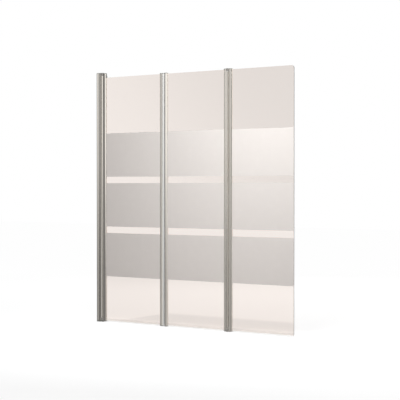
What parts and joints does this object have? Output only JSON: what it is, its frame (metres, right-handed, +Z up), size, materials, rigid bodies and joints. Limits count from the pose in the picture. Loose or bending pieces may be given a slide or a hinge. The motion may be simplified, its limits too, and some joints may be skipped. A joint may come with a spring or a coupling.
{
  "type": "folding bath screen",
  "caption": "Glass bath screen with folding panels on upright hinges, aluminium profiles and satin bands, held by a wall profile.",
  "frame": {"origin": "on the wall face of the wall profile, level with the bath rim and in the middle of the profile's depth", "axes": "+X along the screen from the wall to the free edge, -Y towards the room, +Z up"},
  "size_m": [1.27, 0.0354, 1.4],
  "materials": {
    "aluminium": "natural anodised",
    "glass": "clear toughened, polished edges",
    "satin_film": "satin, translucent",
    "gasket": "soft matt",
    "clear_seal": "clear soft plastic",
    "white_plastic": "fine moulded",
    "cast_metal": "die-cast, fine blasted",
    "grey_plastic": "fine moulded",
    "dark_plastic": "fine moulded",
    "steel": "stainless, ground"
  },
  "bodies": {
    "root": {"wall_channel": "aluminium", "adjusting_profile": "aluminium", "clamp_screws": "steel", "screw_covers": "white_plastic", "wall_cap": "grey_plastic", "wall_foot": "dark_plastic", "pivot_block_top": "cast_metal", "pivot_block_bottom": "cast_metal", "pivot_pins": "steel"},
    "panel_1": {"pivot_stile": "aluminium", "pivot_bushes": "white_plastic", "pivot_stile_caps": "grey_plastic", "pane_1": "glass", "satin_bands_1": "satin_film", "gasket_1_pivot": "gasket", "gasket_1_hinge": "gasket", "bottom_seal_1": "clear_seal", "hinge_stile_1": "aluminium", "hinge_1_bushes": "white_plastic", "hinge_stile_1_caps": "grey_plastic", "hinge_seal_1": "clear_seal", "cap_screws_1": "steel"},
    "panel_2": {"fold_stile_2": "aluminium", "hinge_1_block_top": "cast_metal", "hinge_1_block_bottom": "cast_metal", "hinge_1_pins": "steel", "pane_2": "glass", "satin_bands_2": "satin_film", "gasket_2_fold": "gasket", "gasket_2_hinge": "gasket", "bottom_seal_2": "clear_seal", "hinge_stile_2": "aluminium", "hinge_2_bushes": "white_plastic", "hinge_stile_2_caps": "grey_plastic", "hinge_seal_2": "clear_seal", "cap_screws_2": "steel"},
    "panel_3": {"fold_stile_3": "aluminium", "hinge_2_block_top": "cast_metal", "hinge_2_block_bottom": "cast_metal", "hinge_2_pins": "steel", "pane_3": "glass", "satin_bands_3": "satin_film", "gasket_3_fold": "gasket", "bottom_seal_3": "clear_seal", "cap_screws_3": "steel"}
  },
  "joints": [
    {"name": "wall_pivot", "type": "hinge", "parent": "root", "child": "panel_1", "pos_m": [0.038, 0, 0.7], "axis": [0, 0, -1], "range_deg": [0, 90]},
    {"name": "fold_1", "type": "hinge", "parent": "panel_1", "child": "panel_2", "pos_m": [0.462, 0.01128, 0.7], "axis": [0, 0, 1], "range_deg": [0, 180]},
    {"name": "fold_2", "type": "hinge", "parent": "panel_2", "child": "panel_3", "pos_m": [0.876, -0.01128, 0.7], "axis": [0, 0, -1], "range_deg": [0, 180]}
  ]
}
